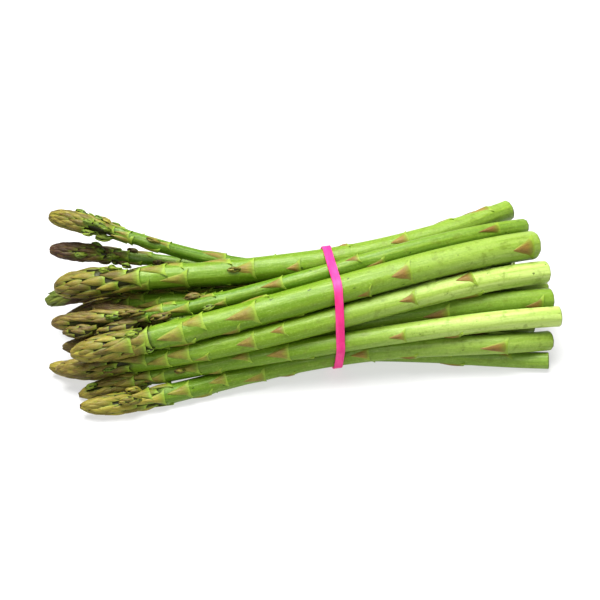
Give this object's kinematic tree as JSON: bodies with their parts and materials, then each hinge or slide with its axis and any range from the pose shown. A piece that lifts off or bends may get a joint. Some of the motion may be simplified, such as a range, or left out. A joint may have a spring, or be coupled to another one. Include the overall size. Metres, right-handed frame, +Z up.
{
  "type": "bundle of asparagus",
  "caption": "Bundle of fresh green asparagus spears lying on its side, fanned a little at both ends and held round the middle by one flat pink rubber band.",
  "frame": {"origin": "on the surface the bundle lies on, under the middle of its bounding box", "axes": "+X along the spears from the tips to the cut butts, +Z up, +Y away from the side where the spears lie lowest"},
  "size_m": [0.2402, 0.0946, 0.0545],
  "materials": {
    "asparagus": "waxy satin green stem with fine lengthwise grain, tan and purple-brown scale leaves with pale edges, olive to purple-brown tight head, pale fibrous cut end",
    "band": "matt bright pink rubber"
  },
  "bodies": {
    "root": {"spear_01": "asparagus", "spear_02": "asparagus", "spear_03": "asparagus", "spear_04": "asparagus", "spear_05": "asparagus", "spear_06": "asparagus", "spear_07": "asparagus", "spear_08": "asparagus", "spear_09": "asparagus", "spear_10": "asparagus", "spear_11": "asparagus", "spear_12": "asparagus", "spear_13": "asparagus", "spear_14": "asparagus", "spear_15": "asparagus", "spear_16": "asparagus", "spear_17": "asparagus", "spear_18": "asparagus", "spear_19": "asparagus", "spear_20": "asparagus", "spear_21": "asparagus", "spear_22": "asparagus", "rubber_band": "band"}
  },
  "joints": []
}
